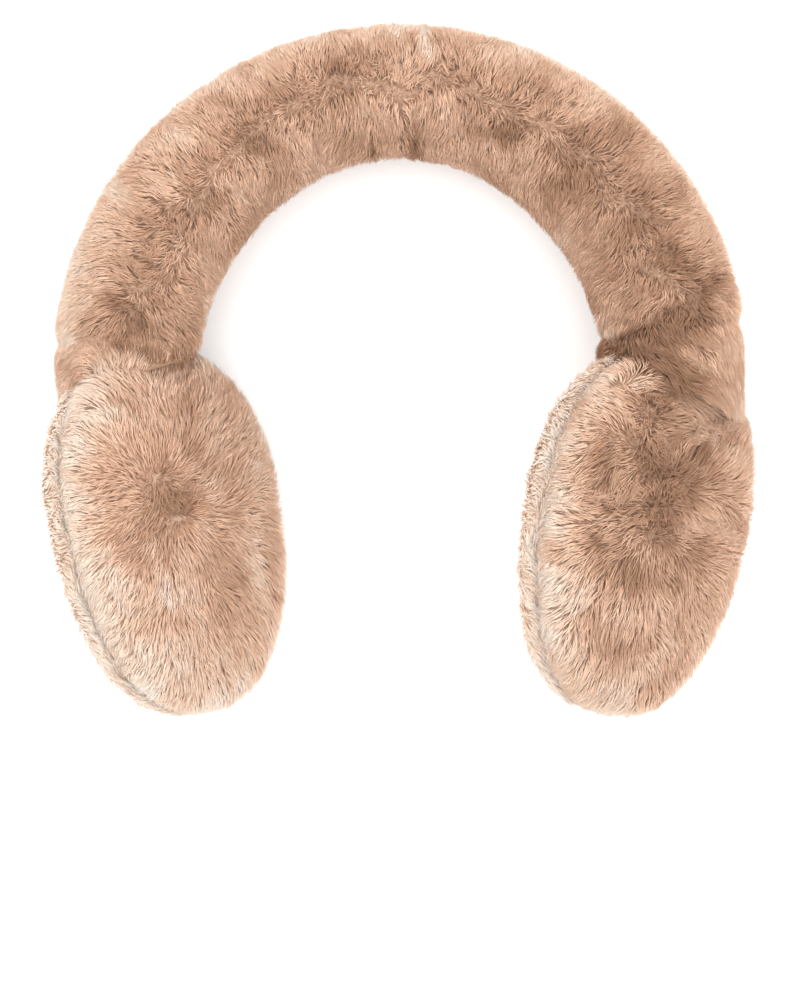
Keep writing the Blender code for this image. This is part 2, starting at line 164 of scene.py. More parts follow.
def bandShape(depth):
    # centre line on a circle of the outer radius less half the thickness; round it, the normal is
    # front times cos(around) plus radial times sin(around); the radius rounds off like a circle at each end
    def shape(angle, around):
        share = np.clip(np.abs(angle) / np.radians(arch["fullThicknessAngle"]), 0, 1)
        swell = np.sin(share * np.pi / 2) ** 2
        half = (arch["crownThickness"] + (arch["sideThickness"] - arch["crownThickness"]) * swell) / 2
        middle = arch["outerRadius"] - half
        end = np.radians(np.where(angle > 0, arch["ends"]["right"], arch["ends"]["left"]))
        toEnd = np.clip(np.abs(end - angle) * middle / arch["endRounding"], 0, 1)
        seat = arch["endSeatRadius"] - depth
        radius = seat + (half - depth - seat) * np.sqrt(1 - (1 - toEnd) ** 2)
        radial = np.stack([np.sin(angle), np.cos(angle), np.zeros_like(angle)], axis=-1)
        front = np.array([0.0, 0.0, 1.0])
        normal = front * np.cos(around)[..., None] + radial * np.sin(around)[..., None]
        return placed(archFrame, radial * middle[..., None] + normal * radius[..., None])

    return shape


def padFrame(side):
    return Matrix.LocRotScale(Vector(pads[side]["place"]), Euler(pads[side]["turn"]), None)


def panelShape(side, face, depth):
    # rim: |x / half width|^n + |y / half height|^n = 1, the width growing with height by the taper
    # flat place: whorl times (1 - sin polar) plus rim times sin polar
    # height: half the thickness times ((cos polar - cos seam) / (1 - cos seam)) to the power of the fullness
    matrix = padFrame(side)

    def shape(polar, around):
        across, up = np.cos(around), np.sin(around)
        halfWidth = (pads["width"] / 2 - depth) * (1 + pads["taper"] * up)
        halfHeight = pads["height"] / 2 - depth
        power = pads["squareness"]
        reach = (np.abs(across) / halfWidth) ** power + (np.abs(up) / halfHeight) ** power
        rim = np.stack([across, up], axis=-1) * (reach ** (-1 / power))[..., None]
        spread = np.sin(polar)
        whorl = pads[side]["whorlRise"] * np.where(polar < np.pi / 2, 1 - spread, 0.0)
        seam = np.cos(np.radians(pads["seam"]))
        share = np.clip((np.cos(polar) - seam) / (1 - seam), 0, 1)
        height = (pads["thickness"] / 2 - depth) * share ** pads["fullness"] + pads["clearance"] / 2
        flat = rim * spread[..., None]
        points = np.stack([flat[..., 0], flat[..., 1] + whorl, face * height], axis=-1)
        return placed(matrix, points)

    return shape


def collarEnds(side):
    # where the neck leaves the band and where it meets the pad, with its direction at each
    angle = np.radians(arch["ends"][side])
    radius = arch["outerRadius"] - arch["sideThickness"] / 2
    start = np.array([np.sin(angle), np.cos(angle), 0.0]) * radius
    leaving = np.array([np.cos(angle), -np.sin(angle), 0.0]) * outwards[side]
    down = -np.array((archFrame.inverted() @ padFrame(side)).to_3x3())[:, 1]
    tilt = -outwards[side] * np.radians(collar["seatTilt"])
    arriving = np.array(Matrix.Rotation(tilt, 3, "Z")) @ down
    end = start + unit(leaving + down) * collar["lengths"][side]
    return start, leaving, end, arriving


def collarShape(side, depth):
    # an oval tube from the band's end to the pad's seat: its middle, direction and half sizes change evenly
    start, leaving, end, arriving = collarEnds(side)
    front = np.array([0.0, 0.0, 1.0])

    def shape(share, around):
        direction = unit(leaving + (arriving - leaving) * share[..., None])
        sideways = unit(np.cross(direction, front))
        first = collar["startRadius"]
        halfWidth = first + (collar["halfWidth"] - first) * share - depth
        halfDepth = first + (collar["halfDepth"] - first) * share - depth
        middle = start + (end - start) * share[..., None]
        ahead = front * (np.cos(around) * halfDepth)[..., None]
        return placed(archFrame, middle + ahead + sideways * (np.sin(around) * halfWidth)[..., None])

    return shape


def aboveSeat(side, points):
    # the distance of world points over the plane where the neck meets the pad, and that plane's normal
    _, _, seat, arriving = collarEnds(side)
    normal = -arriving @ archTurn.T
    return (points - placed(archFrame, seat)) @ normal, normal


def endDistance(angle):
    # from a place along the band to its nearer end
    end = np.radians(np.where(angle > 0, arch["ends"]["right"], arch["ends"]["left"]))
    return np.abs(end - angle) * (arch["outerRadius"] - arch["sideThickness"] / 2)


def slopes(shape, first, second):
    # the surface's point and its two slopes, from small steps either way
    step = 1e-4
    alongFirst = (shape(first + step, second) - shape(first - step, second)) / (2 * step)
    alongSecond = (shape(first, second + step) - shape(first, second - step)) / (2 * step)
    return shape(first, second), alongFirst, alongSecond


# Meshes

def meshFrom(name, points, triangles):
    mesh = bpy.data.meshes.new(name)
    mesh.vertices.add(len(points))
    mesh.vertices.foreach_set("co", points.astype(np.float32).ravel())
    mesh.loops.add(triangles.size)
    mesh.loops.foreach_set("vertex_index", triangles.astype(np.int32).ravel())
    mesh.polygons.add(len(triangles))
    mesh.polygons.foreach_set("loop_start", np.arange(0, triangles.size, 3, dtype=np.int32))
    mesh.polygons.foreach_set("use_smooth", np.ones(len(triangles), dtype=bool))
    mesh.update(calc_edges=True)
    return mesh


def closedTube(name, grid):
    # rings of points joined by two triangles a cell, with a fan to the middle of the first and last ring,
    # turned round if its volume comes out negative
    rings, count = grid.shape[:2]
    points = np.concatenate([grid.reshape(-1, 3), grid[0].mean(axis=0)[None], grid[-1].mean(axis=0)[None]])
    row, column = np.meshgrid(np.arange(rings - 1), np.arange(count), indexing="ij")
    here, beside = row * count + column, row * count + (column + 1) % count
    quads = np.stack([here, here + count, beside + count, beside], axis=-1).reshape(-1, 4)
    ring = np.arange(count)
    after, last = (ring + 1) % count, (rings - 1) * count
    top = np.stack([np.full(count, rings * count), ring, after], axis=-1)
    bottom = np.stack([np.full(count, rings * count + 1), last + after, last + ring], axis=-1)
    triangles = np.concatenate([quads[:, [0, 1, 2]], quads[:, [0, 2, 3]], top, bottom])
    corners = points[triangles]
    volume = np.einsum("ij,ij->i", corners[:, 0], np.cross(corners[:, 1], corners[:, 2])).sum()
    return meshFrom(name, points, triangles if volume > 0 else triangles[:, ::-1])


def addPiece(mesh, material, node):
    piece = bpy.data.objects.new(mesh.name, mesh)
    bpy.context.scene.collection.objects.link(piece)
    piece.data.materials.append(material)
    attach(piece, "root")
    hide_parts(node)
    return piece


def addSkin(title, grid, material, node):
    # a closed skin of undercoat over the padding, which the floor presses flat
    grid[..., 2] = np.maximum(grid[..., 2], 2 * pile["floor"])
    skin = addPiece(closedTube(title + "Skin", grid), material, node)


# Materials

strandLook = {
    "roughness": 0.80,
    "specular": 0.12,
    # each colour by the strand's tint
    "tips": [
        (0.0, (0.36, 0.20, 0.12)), (0.25, (0.62, 0.37, 0.24)), (0.55, (0.89, 0.62, 0.455)),
        (0.8, (0.96, 0.78, 0.64)), (1.0, (0.98, 0.91, 0.83)),
    ],
    "roots": [(0.0, (0.28, 0.145, 0.09)), (0.5, (0.70, 0.44, 0.30)), (1.0, (0.94, 0.75, 0.61))],
    "along": [(0.05, (0, 0, 0)), (0.85, (1, 1, 1))],  # from the root's colour to the tip's
}

skinLook = {
    "roughness": 0.95,
    "specular": 0.15,
    "noiseScale": 900.0,
    "noiseDetail": 4.0,
    "bump": 0.8,
    "bumpDepth": 0.0006,
}
# The undercoat's colours: the brown is darker than the strands, partly the undercoat's own colour and partly
# painted shade at the bottom of the pile;
# the tan for the left pad's facing panel carries less of that painted shade; the pale for the panels behind
# is painted rim light, the glow of their fur along the outline.
brownSkin = [(0.3, (0.33, 0.20, 0.13)), (0.7, (0.50, 0.325, 0.23))]
tanSkin = [(0.3, (0.52, 0.34, 0.235)), (0.7, (0.70, 0.48, 0.355))]
paleRimLightSkin = [(0.3, (0.72, 0.52, 0.40)), (0.7, (0.86, 0.68, 0.55))]
skinColours = {
    "band_fur": brownSkin,
    "pad_fur": brownSkin,
    "collar_fur": brownSkin,
    "pad_fur_behind": paleRimLightSkin,
    "pad_fur_left": tanSkin,
}


def newMaterial(name, look):
    material = bpy.data.materials.new(name)
    material.use_nodes = True
    nodes, links = material.node_tree.nodes, material.node_tree.links
    shader = nodes["Principled BSDF"]
    shader.inputs["Roughness"].default_value = look["roughness"]
    shader.inputs["Specular IOR Level"].default_value = look["specular"]
    return material, nodes, links, shader


def ramp(nodes, stops):
    node = nodes.new("ShaderNodeValToRGB")
    elements = node.color_ramp.elements
    elements[0].position, elements[1].position = stops[0][0], stops[-1][0]
    elements[0].color, elements[1].color = (*stops[0][1], 1.0), (*stops[-1][1], 1.0)
    for position, colour in stops[1:-1]:
        elements.new(position).color = (*colour, 1.0)
    return node


def strandMaterial(name):
    # colour from the strand's own map: across is its tint, up is how far along the strand it is
    material, nodes, links, shader = newMaterial(name, strandLook)
    uv = nodes.new("ShaderNodeUVMap")
    uv.uv_map = "OFBake"
    split = nodes.new("ShaderNodeSeparateXYZ")
    links.new(uv.outputs["UV"], split.inputs["Vector"])
    mix = nodes.new("ShaderNodeMix")
    mix.data_type = "RGBA"
    for stops, axis, socket in (("roots", "X", "A"), ("tips", "X", "B"), ("along", "Y", "Factor")):
        colours = ramp(nodes, strandLook[stops])
        links.new(split.outputs[axis], colours.inputs["Fac"])
        links.new(colours.outputs["Color"], mix.inputs[socket])
    links.new(mix.outputs["Result"], shader.inputs["Base Color"])
    return material


def skinMaterial(name, stops):
    # the undercoat: short hair seen end on, as fine noise in the colour and the bump
    material, nodes, links, shader = newMaterial(name, skinLook)
    coordinates = nodes.new("ShaderNodeTexCoord")
    noise = nodes.new("ShaderNodeTexNoise")
    noise.inputs["Scale"].default_value = skinLook["noiseScale"]
    noise.inputs["Detail"].default_value = skinLook["noiseDetail"]
    links.new(coordinates.outputs["Object"], noise.inputs["Vector"])
    colours = ramp(nodes, stops)
    links.new(noise.outputs["Fac"], colours.inputs["Fac"])
    links.new(colours.outputs["Color"], shader.inputs["Base Color"])
    bump = nodes.new("ShaderNodeBump")
    bump.inputs["Strength"].default_value = skinLook["bump"]
    bump.inputs["Distance"].default_value = skinLook["bumpDepth"]
    links.new(noise.outputs["Fac"], bump.inputs["Height"])
    links.new(bump.outputs["Normal"], shader.inputs["Normal"])
    return material


furSlots = ("band_fur", "pad_fur", "collar_fur")
strandMaterials = {slotName: strandMaterial(slotName + "_strands") for slotName in furSlots}
skinMaterials = {name: skinMaterial(name + "_skin", stops) for name, stops in skinColours.items()}


# Strands of fur: closed spindles that rise from the skin and lie over

pile = {
    "depth": 0.0038,  # from the fur tips down to the skin
    "sunk": 0.0006,  # how far the roots lie under the skin
    "length": 0.0086,
    "lengthSpread": 0.24,
    "lift": 28.0,  # degrees that the fur stands off the skin
    "liftSpread": 9.0,
    "liftLimits": (6, 80),
    "width": 0.00029,
    "widthSpread": 0.30,
    "curl": 0.07,  # sideways bend, as a share of the length
    "rise": 1.9,  # the power by which a strand rises sooner than it goes along
    "stray": ((0.34, 0.022), (0.30, 0.007)),  # how far the lay wanders, in radians, and over what length
    "headroom": 0.0009,  # how far a tip may stand past the fur's outer form
    "floor": 0.0003,  # the height of the lowest hairs
    "patches": (0.10, 0.026),  # how much the tint changes from place to place, and over what length
    "tintSpread": 0.045,
    "tintLimits": (0.06, 0.94),
    "longShare": 0.08,  # share of the strands that have two bends
    # a strand's rings of three points: how far along it they lie, and their share of its width
    "rings": {"short": ((0.40, 1.0),), "long": ((0.28, 1.0), (0.66, 0.75))},
    "ringTints": (-0.05, 0.0, 0.05),
    # for measuring how the skin bends: the step, the widest turn round it and the most it may bend a metre
    "bendStep": 0.0015,
    "bendTurn": 0.5,
    "mostBend": 75.0,
}

# The tufts that gather the tips, the wide ones first: the distance between them, how much they gather,
# and how far their tints, directions in radians and lifts in degrees differ
tufts = {
    "sizes": (
        {"spacing": 0.0075, "pull": 0.28, "tint": 0.06, "turn": 0.28, "lift": 7.0},
        {"spacing": 0.0024, "pull": 0.36, "tint": 0.035, "turn": 0.20, "lift": 6.0},
    ),
    "shares": (0.4, 1.2),  # how differently the strands of a tuft are drawn to it
    "pullPower": 1.4,  # by which the pull grows from root to tip
    "lengthSpread": 0.12,
    "liftLimits": (8, 80),
    "fewest": 8,
}

# How roots are spread: cells on each side of the table of areas, the steps of the two-number sequence,
# and how far a root strays from it as a share of the mean distance; viewLimits: how far a surface has to
# face the camera to have the fewest and the most
rootSpread = {
    "cells": 160,
    "steps": (0.7548776662466927, 0.5698402909980532),
    "jitter": 0.3,
    "viewLimits": (-0.55, 0.15),
    "block": 4096,
}

# Marks on the fur that faces the camera, placed by pixels of the picture: two ends, how far it reaches
# in pixels, its change of tint, and how far the fur parts and thins there
# The darker marks include painted shade: the shadows in the creases under the band's ends, and the dark slits
# where the fur parts.
marks = {
    "band": (
        ((423, 50), (427, 70), 8, 0.22, 0.0), ((408, 46), (416, 58), 6, -0.16, 0.5),
        ((409, 112), (414, 158), 5, -0.22, 0.8), ((371, 138), (374, 152), 4, -0.20, 0.6),
        ((335, 78), (348, 84), 8, -0.16, 0.3), ((362, 66), (382, 82), 8, -0.18, 0.3),
        ((470, 118), (492, 124), 9, -0.16, 0.3), ((506, 126), (524, 134), 7, -0.16, 0.3),
        ((196, 208), (216, 190), 8, -0.14, 0.3), ((126, 300), (140, 318), 9, -0.18, 0.4),
        ((632, 214), (646, 224), 8, -0.16, 0.3), ((664, 262), (682, 276), 9, -0.18, 0.4),
        ((690, 292), (704, 282), 8, -0.20, 0.4), ((590, 168), (606, 178), 7, -0.12, 0.3),
        ((245, 142), (262, 132), 8, -0.12, 0.3), ((160, 262), (176, 276), 7, -0.10, 0.3),
        ((120, 338), (192, 348), 8, -0.14, 0.0), ((618, 334), (697, 293), 6, -0.24, 0.8),
        ((655, 326), (692, 312), 13, -0.20, 0.1),
    ),
    "left": (
        ((168, 500), (182, 513), 4, -0.30, 1.0), ((155, 535), (173, 600), 5, 0.16, 0.0),
        ((232, 568), (234, 573), 5, -0.22, 0.6), ((268, 585), (272, 590), 4, -0.20, 0.5),
        ((216, 657), (224, 677), 4, -0.18, 0.5), ((73, 536), (74, 545), 6, -0.10, 0.2),
        ((205, 560), (230, 600), 20, -0.10, 0.0), ((120, 412), (140, 420), 6, -0.12, 0.3),
        ((185, 415), (190, 425), 6, -0.12, 0.3), ((64, 372), (72, 384), 7, -0.14, 0.4),
        ((125, 530), (150, 550), 10, -0.10, 0.2), ((170, 600), (186, 612), 7, -0.14, 0.4),
        ((118, 335), (126, 352), 8, -0.14, 0.2),
    ),
    "right": (
        ((648, 392), (650, 410), 8, -0.20, 0.6), ((642, 452), (650, 470), 6, -0.22, 0.7),
        ((652, 465), (660, 478), 5, -0.24, 0.8), ((672, 478), (682, 492), 6, -0.20, 0.6),
        ((652, 505), (660, 516), 6, -0.26, 0.8), ((652, 532), (660, 536), 5, -0.30, 1.0),
        ((612, 505), (620, 509), 6, -0.16, 0.4), ((600, 534), (606, 540), 6, -0.18, 0.4),
        ((560, 545), (570, 560), 10, -0.08, 0.2), ((630, 500), (640, 520), 8, -0.10, 0.3),
        ((622, 330), (672, 372), 22, -0.30, 0.2), ((644, 362), (656, 370), 7, -0.24, 0.8),
        ((725, 385), (735, 395), 8, -0.12, 0.3), ((690, 340), (700, 352), 9, -0.12, 0.4),
        ((562, 440), (566, 452), 7, -0.06, 0.2), ((735, 330), (745, 340), 8, -0.12, 0.2),
    ),
}
markScale = {"reach": 1.6, "tint": 1.7, "push": 0.6}  # push: how strongly the band's and pads' fur turns away


def nearMarks(points, group):
    # for each mark, its strength falls to 0 at its reach: the sums of the tint changes and of the partings,
    # and the directions away from the marks weighted by the partings
    tint, parting, away = np.zeros(len(points)), np.zeros(len(points)), np.zeros((len(points), 2))
    for first, second, reach, change, part in marks[group]:
        offset = awayFromLine(points, (first, second))
        distance = np.linalg.norm(offset, axis=1)
        near = 1 - smooth(0.0, reach * markScale["reach"] * picture["metresPerPixel"], distance)
        tint += markScale["tint"] * change * near
        parting += part * near
        away += unit(offset) * (part * near)[:, None]
    return tint, np.clip(parting, 0, 1), inWorld(away)


def groomed(look, weights, dark):
    # the fur's length as a share, lift in degrees and tint: the look's own, plus what each place changes
    # times how far the point belongs to it
    total = np.array(look["base"], dtype=float)[:, None]
    for place, weight in weights.items():
        total = total + np.array(look["groom"][place], dtype=float)[:, None] * weight
    scale, lean, tint = total
    return scale, lean, tint + dark


def viewDensity(normals, back):
    # full where the surface faces the camera, less towards the floor
    return back + (1 - back) * smooth(*rootSpread["viewLimits"], normals @ archFront)


def scatter(shape, spans, density, count, rng):
    # an even spread of points over the surface: a two-number sequence put through the running sums of
    # area times density, first over the rows and then along the row
    cells = rootSpread["cells"]
    edges = [np.linspace(low, high, cells + 1) for low, high in spans]
    middles = [(edge[1:] + edge[:-1]) / 2 for edge in edges]
    first, second = np.meshgrid(*middles, indexing="ij")
    point, alongFirst, alongSecond = slopes(shape, first.ravel(), second.ravel())
    across = np.cross(alongFirst, alongSecond)
    weights = np.linalg.norm(across, axis=1) * density(first.ravel(), point, unit(across))
    weights = weights.reshape(cells, cells) + 1e-15
    rows = np.concatenate([[0.0], np.cumsum(weights.sum(axis=1))])
    rows /= rows[-1]
    draws = (np.arange(count)[:, None] * np.array(rootSpread["steps"]) + rng.uniform(0, 1, 2)) % 1.0
    stray = rootSpread["jitter"]
    jitter = rng.uniform(-stray, stray, (count, 2)) / np.sqrt(count)
    draws = np.clip(draws + jitter, 0, 1 - 1e-9)
    row = np.clip(np.searchsorted(rows, draws[:, 0], side="right") - 1, 0, cells - 1)
    within = (draws[:, 0] - rows[row]) / (rows[row + 1] - rows[row])
    sums = np.cumsum(weights, axis=1)
    sums = np.concatenate([np.zeros((cells, 1)), sums / sums[:, -1:]], axis=1)
    flat = (sums[:, :-1] + np.arange(cells)[:, None]).ravel()
    place = np.searchsorted(flat, row + draws[:, 1], side="right") - 1
    column = np.clip(place - row * cells, 0, cells - 1)
    low, high = sums[row, column], sums[row, column + 1]
    beside = (draws[:, 1] - low) / np.maximum(high - low, 1e-12)
    return (
        edges[0][row] + within * (edges[0][1] - edges[0][0]),
        edges[1][column] + np.clip(beside, 0, 1) * (edges[1][1] - edges[1][0]),
    )


def nearest(points, centres):
    # the index of the closest centre to each point, from |c|^2 - 2 p.c, in blocks
    found, size = np.empty(len(points), dtype=np.int64), rootSpread["block"]
    squares = (centres**2).sum(axis=1)
    for start in range(0, len(points), size):
        block = points[start : start + size]
        found[start : start + size] = (squares - 2 * block @ centres.T).argmin(axis=1)
    return found


def readLay(fur, count, rng):
    # roots spread over the skin, with the normal, the direction the fur lies in, and how fast the skin
    # curves away along it: the turn of the normal over a small step
    shape, sign = fur["shape"], fur["sign"]
    first, second = scatter(shape, fur["spans"], fur["density"], count, rng)
    root, alongFirst, alongSecond = slopes(shape, first, second)
    normal = unit(np.cross(alongFirst, alongSecond)) * sign
    lay = fur["lay"](first, second, root, normal, unit(alongFirst), unit(alongSecond))
    lay = unit(lay - normal * (lay * normal).sum(axis=1, keepdims=True))
    stray = wander(root, [(*part, fur["seed"] + index) for index, part in enumerate(pile["stray"])])
    lay = lay * np.cos(stray)[:, None] + np.cross(normal, lay) * np.sin(stray)[:, None]
    # how far the two parameters go for that step along the lay, from the slopes' products
    step = pile["bendStep"]
    firstSquare, product = (alongFirst**2).sum(axis=1), (alongFirst * alongSecond).sum(axis=1)
    secondSquare = np.maximum((alongSecond**2).sum(axis=1), 4e-5)
    firstLay, secondLay = (alongFirst * lay).sum(axis=1), (alongSecond * lay).sum(axis=1)
    fall = np.maximum(firstSquare * secondSquare - product * product, 1e-12)
    onFirst = (secondSquare * firstLay - product * secondLay) / fall * step
    onSecond = (firstSquare * secondLay - product * firstLay) / fall * step
    onSecond = np.clip(onSecond, -pile["bendTurn"], pile["bendTurn"])
    _, stepFirst, stepSecond = slopes(shape, first + onFirst, second + onSecond)
    turned = unit(np.cross(stepFirst, stepSecond)) * sign
    curve = np.clip(((turned - normal) * lay).sum(axis=1) / step, 0.0, pile["mostBend"])
    scale, lean, tint = fur["groom"](first, second, root, normal)
    return {
        "root": root - normal * pile["sunk"], "normal": normal, "lay": lay, "curve": curve,
        "scale": scale, "lean": lean, "tint": tint,
    }


def tipOf(hair, length, lift):
    # along the lay by the length's flat share, up by its height, which levels off at the fur's outer form,
    # and down by how far the skin curves away
    most = pile["depth"] + pile["sunk"] + pile["headroom"]
    flat, height = length * np.cos(lift), most * np.tanh(length * np.sin(lift) / most)
    drop = hair["curve"] * flat**2 / 2
    tip = hair["root"] + hair["lay"] * flat[:, None] + hair["normal"] * (height - drop)[:, None]
    return tip, flat, height, drop


def drawToTufts(fur, root, tip, tint, rng):
    # each tip is drawn by a random share to the tip of the tuft that its root is nearest to, first of the
    # wide tufts and then of the narrow ones, and takes on the tuft's tint
    pulled = np.zeros_like(tip)
    for tuft in tufts["sizes"]:
        count = max(tufts["fewest"], int(fur["area"] / tuft["spacing"] ** 2))
        heads = readLay(fur, count, rng)
        turn = tuft["turn"] * rng.normal(size=count)[:, None]
        heads["lay"] = heads["lay"] * np.cos(turn) + np.cross(heads["normal"], heads["lay"]) * np.sin(turn)
        length = pile["length"] * heads["scale"] * (1 + tufts["lengthSpread"] * rng.normal(size=count))
        lift = pile["lift"] + heads["lean"] + tuft["lift"] * rng.normal(size=count)
        headTip = tipOf(heads, length, np.radians(np.clip(lift, *tufts["liftLimits"])))[0]
        owner = nearest(root, heads["root"])
        share = tuft["pull"] * fur["gather"] * rng.uniform(*tufts["shares"], len(root))
        pulled += (headTip[owner] - tip - pulled) * share[:, None]
        tint = tint + tuft["tint"] * rng.normal(size=count)[owner]
    return pulled, tint


def strandTemplate(rings):
    # triangles of one strand: a fan from its root, bands between its rings of three, a fan to its tip
    around = [(k, (k + 1) % 3) for k in range(3)]
    faces = [(0, 1 + after, 1 + k) for k, after in around]
    for low in range(1, 3 * rings - 2, 3):
        for k, after in around:
            faces += [(low + k, low + after, low + after + 3), (low + k, low + after + 3, low + k + 3)]
    last = 3 * rings + 1
    return np.array(faces + [(last - 3 + k, last - 3 + after, last) for k, after in around])


def growFur(name, fur, rng):
    # each strand rises fast from its root and then lies over, with its tip drawn to those of its tufts
    count = fur["strands"]
    hair = readLay(fur, count, rng)
    root, normal, lay = hair["root"], hair["normal"], hair["lay"]
    length = pile["length"] * hair["scale"] * (1 + pile["lengthSpread"] * rng.uniform(-1, 1, count))
    lift = np.radians(pile["lift"] + hair["lean"] + pile["liftSpread"] * rng.normal(size=count))
    tip, flat, height, drop = tipOf(hair, length, np.clip(lift, *np.radians(pile["liftLimits"])))
    tint = hair["tint"] + wander(root, [(*pile["patches"], fur["seed"] + 2)])
    tint = tint + pile["tintSpread"] * rng.normal(size=count)
    pulled, tint = drawToTufts(fur, root, tip, tint, rng)
    side = unit(np.cross(normal, lay))
    bend = pile["curl"] * length * rng.normal(size=count)
    width = pile["width"] * (1 + pile["widthSpread"] * rng.uniform(-1, 1, count)) * fur["widthScale"]
    tint = np.clip(tint, *pile["tintLimits"])

    def stationAt(share, chosen):
        # a share of the way along the lay; up by the height times 1 - (1 - share)^1.9, less the drop times
        # share^2; drawn to its tuft by the pull times share^1.4; bent sideways by 4 share (1 - share)
        lifted = height[chosen] * (1 - (1 - share) ** pile["rise"]) - drop[chosen] * share**2
        curl = (bend[chosen] * 4 * share * (1 - share))[:, None]
        straight = root[chosen] + lay[chosen] * (flat[chosen] * share)[:, None]
        drawn = straight + normal[chosen] * lifted[:, None] + pulled[chosen] * share ** tufts["pullPower"]
        return drawn + side[chosen] * curl

    isLong = rng.uniform(0, 1, count) < pile["longShare"]
    points, faces, maps, offset = [], [], [], 0
    for group, kind in ((~isLong, "short"), (isLong, "long")):
        chosen, rings = np.flatnonzero(group), pile["rings"][kind]
        end = stationAt(1.0, chosen)
        over = unit(np.cross(end - root[chosen], side[chosen]))
        strand = [root[chosen]]
        for stop, share in rings:
            middle, half = stationAt(stop, chosen), (width[chosen] * share / 2)[:, None]
            strand += [middle + around * half for around in (side[chosen], over, -side[chosen])]
        strand = np.stack([*strand, end], axis=1)
        template = strandTemplate(len(rings))
        corners = (strand - strand[:, :1])[:, template]
        volume = np.einsum("ijk,ijk->i", corners[:, :, 0], np.cross(corners[:, :, 1], corners[:, :, 2]))
        firsts = np.arange(len(chosen)) * strand.shape[1] + offset
        triangles = firsts[:, None, None] + template[None]
        triangles[volume < 0] = triangles[volume < 0][:, :, ::-1]
        ups = np.concatenate([[0.0], np.repeat([stop for stop, _ in rings], 3), [1.0]])
        overs = np.concatenate([[0.0], np.tile(pile["ringTints"], len(rings)), [0.0]])
        tints = tint[chosen][:, None] + overs
        maps.append(np.stack(np.broadcast_arrays(tints, ups[None]), axis=-1).reshape(-1, 2))
        points.append(strand.reshape(-1, 3))
        faces.append(triangles.reshape(-1, 3))
        offset += strand.shape[0] * strand.shape[1]
    points, triangles, maps = (np.concatenate(parts) for parts in (points, faces, maps))
    points[:, 2] = np.maximum(points[:, 2], pile["floor"])
    mesh = meshFrom(name, points, triangles)
    layer = mesh.uv_layers.new(name="OFBake")
    layer.uv.foreach_set("vector", maps[triangles.ravel()].astype(np.float32).ravel())
    print(f"{name}: {count} strands, {len(triangles)} triangles")
    return mesh


# Headband

headband = {
    "rings": 120,
    "ringPoints": 48,
    "endCrowding": 0.012,  # how far the rings draw together at the ends, as a share of the band
    "seed": 101,
    "radii": (0.0885, 0.0195),  # of the arch's middle circle and of the skin, for the number of tufts
    "parts": {
        "FrontLeft": {"strands": 26500, "widthScale": 1.0},
        "FrontRight": {"strands": 26000, "widthScale": 1.0},
        "Back": {"strands": 14000, "widthScale": 1.4},
    },
    "backDensity": 0.75,
    # where the fur parts on the front: degrees from the crown, and radians outwards round the tube
    "parting": (
        (-84, -0.02), (-62, -0.18), (-36, -0.03), (-14, 0.18), (-10.7, 0.31), (0.7, 0.09), (2, 0.05),
        (7.9, 0.32), (18, 0.08), (27, 0.05), (32, 0.15), (45, 0.11), (68, 0.06), (76, 0.32), (80, 0.33),
    ),
    "partingWidth": 0.32,
    # how the parting wanders, for the lay and for the tint
    "layWander": ((0.22, 0.015, 61), (0.14, 0.006, 62)),
    "tintWander": ((0.20, 0.016, 63),),
    # how far the lay leans towards the nearer end: degrees from the crown, outer side, inner side
    "lean": ((-84, 22, 28), (-45, 4, 22), (0, 0, 4), (45, 2, 22), (80, -4, 28)),
    "endLean": (80, 0.8),  # degrees that it leans to right at the ends, and how nearly it reaches them
    "endReach": 0.012,
    # short hair that crosses every way at the parting: how far it reaches, how fast it turns, how strongly
    "tangle": ((0.06, 0.24), 0.0020, 1.2),
    # where each of these starts and is full: radians from the parting, for right degrees from the crown
    "limits": {"parting": (0.0, 0.55), "outer": (0.35, 1.3), "inner": (0.6, 1.6), "right": (20, 60)},
    # the fur's length as a share, lift in degrees and tint, and what each place changes of them
    "base": (1.0, 0.0, 0.455),
    "groom": {
        "parting": (-0.10, 14, -0.12),
        # the outer side's lighter tint is painted rim light
        "outer": (0.05, 9, 0.25),
        "outerEnd": (0.10, 0, 0),
        "inner": (-0.08, 0, 0.06),
        # the right's darker tint is painted shade on the side away from the light
        "right": (0, 0, -0.11),
        "mark": (-0.12, 12, 0),
    },
}


def bandParting(angle):
    table = np.array(headband["parting"])
    return np.interp(np.degrees(angle), table[:, 0], table[:, 1])


def bandLay(angle, around, point, normal, alongAngle, alongAround):
    # away from the parting on either side, turned towards the nearer end by the lean
    fromParting = wrapped(around - bandParting(angle) - wander(point, headband["layWander"]))
    table = np.array(headband["lean"], dtype=float)
    outer = np.interp(np.degrees(angle), table[:, 0], table[:, 1])
    inner = np.interp(np.degrees(angle), table[:, 0], table[:, 2])
    lean = np.radians(np.where(fromParting > 0, outer, inner))
    most, share = headband["endLean"]
    nearEnd = 1 - smooth(0.0, headband["endReach"], endDistance(angle))
    lean = lean + (np.radians(most) - lean) * nearEnd * share
    away = np.tanh(fromParting / headband["partingWidth"])
    endwards = alongAngle * np.sign(angle)[:, None]
    combed = alongAround * (away * np.cos(lean))[:, None] + endwards * np.sin(lean)[:, None]
    reach, turning, strength = headband["tangle"]
    tangle = alongAround * waves(point, turning, 64)[:, None] + endwards * waves(point, turning, 65)[:, None]
    tangled = strength * (1 - smooth(*reach, np.abs(fromParting)))[:, None]
    return unit(combed) + tangled * tangle + markScale["push"] * nearMarks(point, "band")[2]


